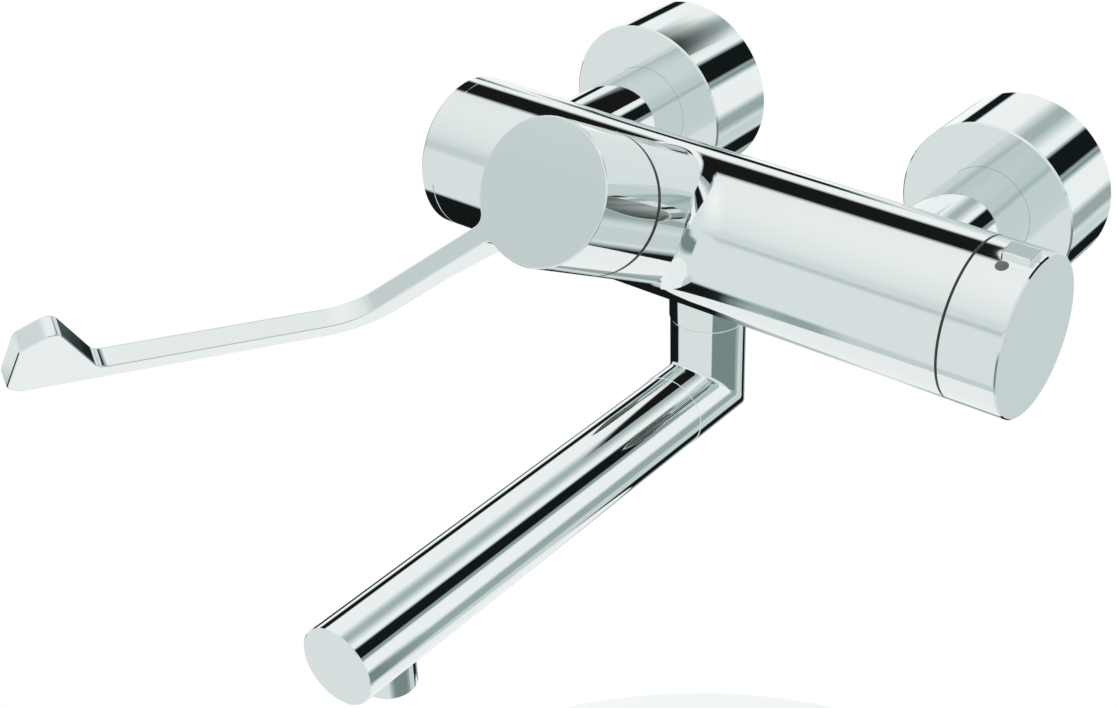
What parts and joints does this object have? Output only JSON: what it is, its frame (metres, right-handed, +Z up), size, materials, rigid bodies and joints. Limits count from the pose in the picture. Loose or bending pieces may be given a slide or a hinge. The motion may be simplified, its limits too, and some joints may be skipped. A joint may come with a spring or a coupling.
{
  "type": "wall-mounted basin tap",
  "caption": "Wall-mounted thermostatic basin tap with a long bent elbow lever, a temperature knob with a safety button and a swivelling tube spout.",
  "frame": {"origin": "on the wall, midway between the two water connections, level with the body's axis", "axes": "+X along the body towards the temperature knob, +Y into the wall, +Z up"},
  "size_m": [0.2412, 0.3256, 0.1457],
  "materials": {
    "chrome_wall": "polished chrome plate",
    "chrome_body": "polished chrome plate",
    "chrome_lever": "polished chrome plate",
    "chrome_knob": "polished chrome plate",
    "chrome_button": "polished chrome plate",
    "chrome_elbow": "polished chrome plate",
    "chrome_spout": "polished chrome plate",
    "dot_enamel": "grey enamel",
    "rubber": "black rubber",
    "fibre": "red fibre",
    "ceramic": "ground ceramic",
    "steel": "stainless steel",
    "white_plastic": "white plastic",
    "black_plastic": "black plastic",
    "brass": "bare brass"
  },
  "bodies": {
    "tap_body": {"main_body": "chrome_body", "left_end_cap": "chrome_body", "cap_seal_ring": "rubber", "rosette_left": "chrome_wall", "rosette_right": "chrome_wall", "sleeve_left": "chrome_wall", "sleeve_right": "chrome_wall", "inlet_nipple_left": "brass", "inlet_nipple_right": "brass", "union_gasket_left": "fibre", "union_gasket_right": "fibre", "union_nut_left": "brass", "union_nut_right": "brass", "s_union_left": "brass", "s_union_right": "brass", "valve_housing_left": "white_plastic", "valve_housing_right": "white_plastic", "valve_spring_left": "steel", "valve_spring_right": "steel", "thermostat_housing": "white_plastic", "thermostat_seal_rings": "rubber", "return_spring": "steel", "thermostat_nut": "brass", "stop_ring": "white_plastic", "flow_cartridge": "white_plastic", "cartridge_base_seal": "rubber", "fixed_ceramic_disc": "ceramic", "cartridge_nut": "brass", "hub_glide_ring": "black_plastic", "knob_glide_ring": "black_plastic", "spout_glide_washer": "white_plastic", "spout_screw": "steel"},
    "lever": {"lever_handle": "chrome_lever", "lever_screw": "steel", "flow_spindle": "brass", "moving_ceramic_disc": "ceramic"},
    "knob": {"temperature_knob": "chrome_knob", "knob_end_disc": "chrome_knob", "knob_screw": "steel", "temperature_spindle": "brass", "index_dot": "dot_enamel", "button_spring": "steel"},
    "regulator": {"regulating_piston": "white_plastic", "wax_element": "brass"},
    "button": {"safety_button": "chrome_button"},
    "left_valve": {"valve_poppet_left": "white_plastic"},
    "right_valve": {"valve_poppet_right": "white_plastic"},
    "spout": {"spout_elbow": "chrome_elbow", "spout_seal_rings": "rubber", "spout_tube": "chrome_spout", "spout_end_cap": "chrome_spout", "outlet_socket": "chrome_spout", "aerator": "white_plastic", "aerator_seal": "rubber"}
  },
  "joints": [
    {"name": "spout_swivel", "type": "hinge", "parent": "tap_body", "child": "spout", "pos_m": [0.002, -0.1005, -0.0639], "axis": [0, 0, 1], "range_deg": [-60, 60]},
    {"name": "lever_turn", "type": "hinge", "parent": "tap_body", "child": "lever", "pos_m": [-0.0098, -0.1005, 0], "axis": [0, -0.878, 0.4787], "range_deg": [-43.5, 46.5]},
    {"name": "knob_turn", "type": "hinge", "parent": "tap_body", "child": "knob", "pos_m": [0.117, -0.1005, 0], "axis": [1, 0, 0], "range_deg": [-120, 60]},
    {"name": "regulator_slide", "type": "slide", "parent": "tap_body", "child": "regulator", "axis": [1, 0, 0], "range_m": [-0.0009, 0.00045], "deforming": ["return_spring"]},
    {"name": "button_press", "type": "slide", "parent": "knob", "child": "button", "axis": [0, 0.075, -0.9972], "range_m": [0, 0.0014], "stiffness_N_per_m": 800, "springref_m": -0.001, "deforming": ["button_spring"]},
    {"name": "left_valve_opens", "type": "slide", "parent": "tap_body", "child": "left_valve", "axis": [0, -1, 0], "range_m": [0, 0.0025], "stiffness_N_per_m": 100, "springref_m": -0.002, "deforming": ["valve_spring_left"]},
    {"name": "right_valve_opens", "type": "slide", "parent": "tap_body", "child": "right_valve", "axis": [0, -1, 0], "range_m": [0, 0.0025], "stiffness_N_per_m": 100, "springref_m": -0.002, "deforming": ["valve_spring_right"]}
  ],
  "couplings": [
    {"joint": "regulator_slide", "follows": "knob_turn", "m_per_rad": 0.0004}
  ]
}
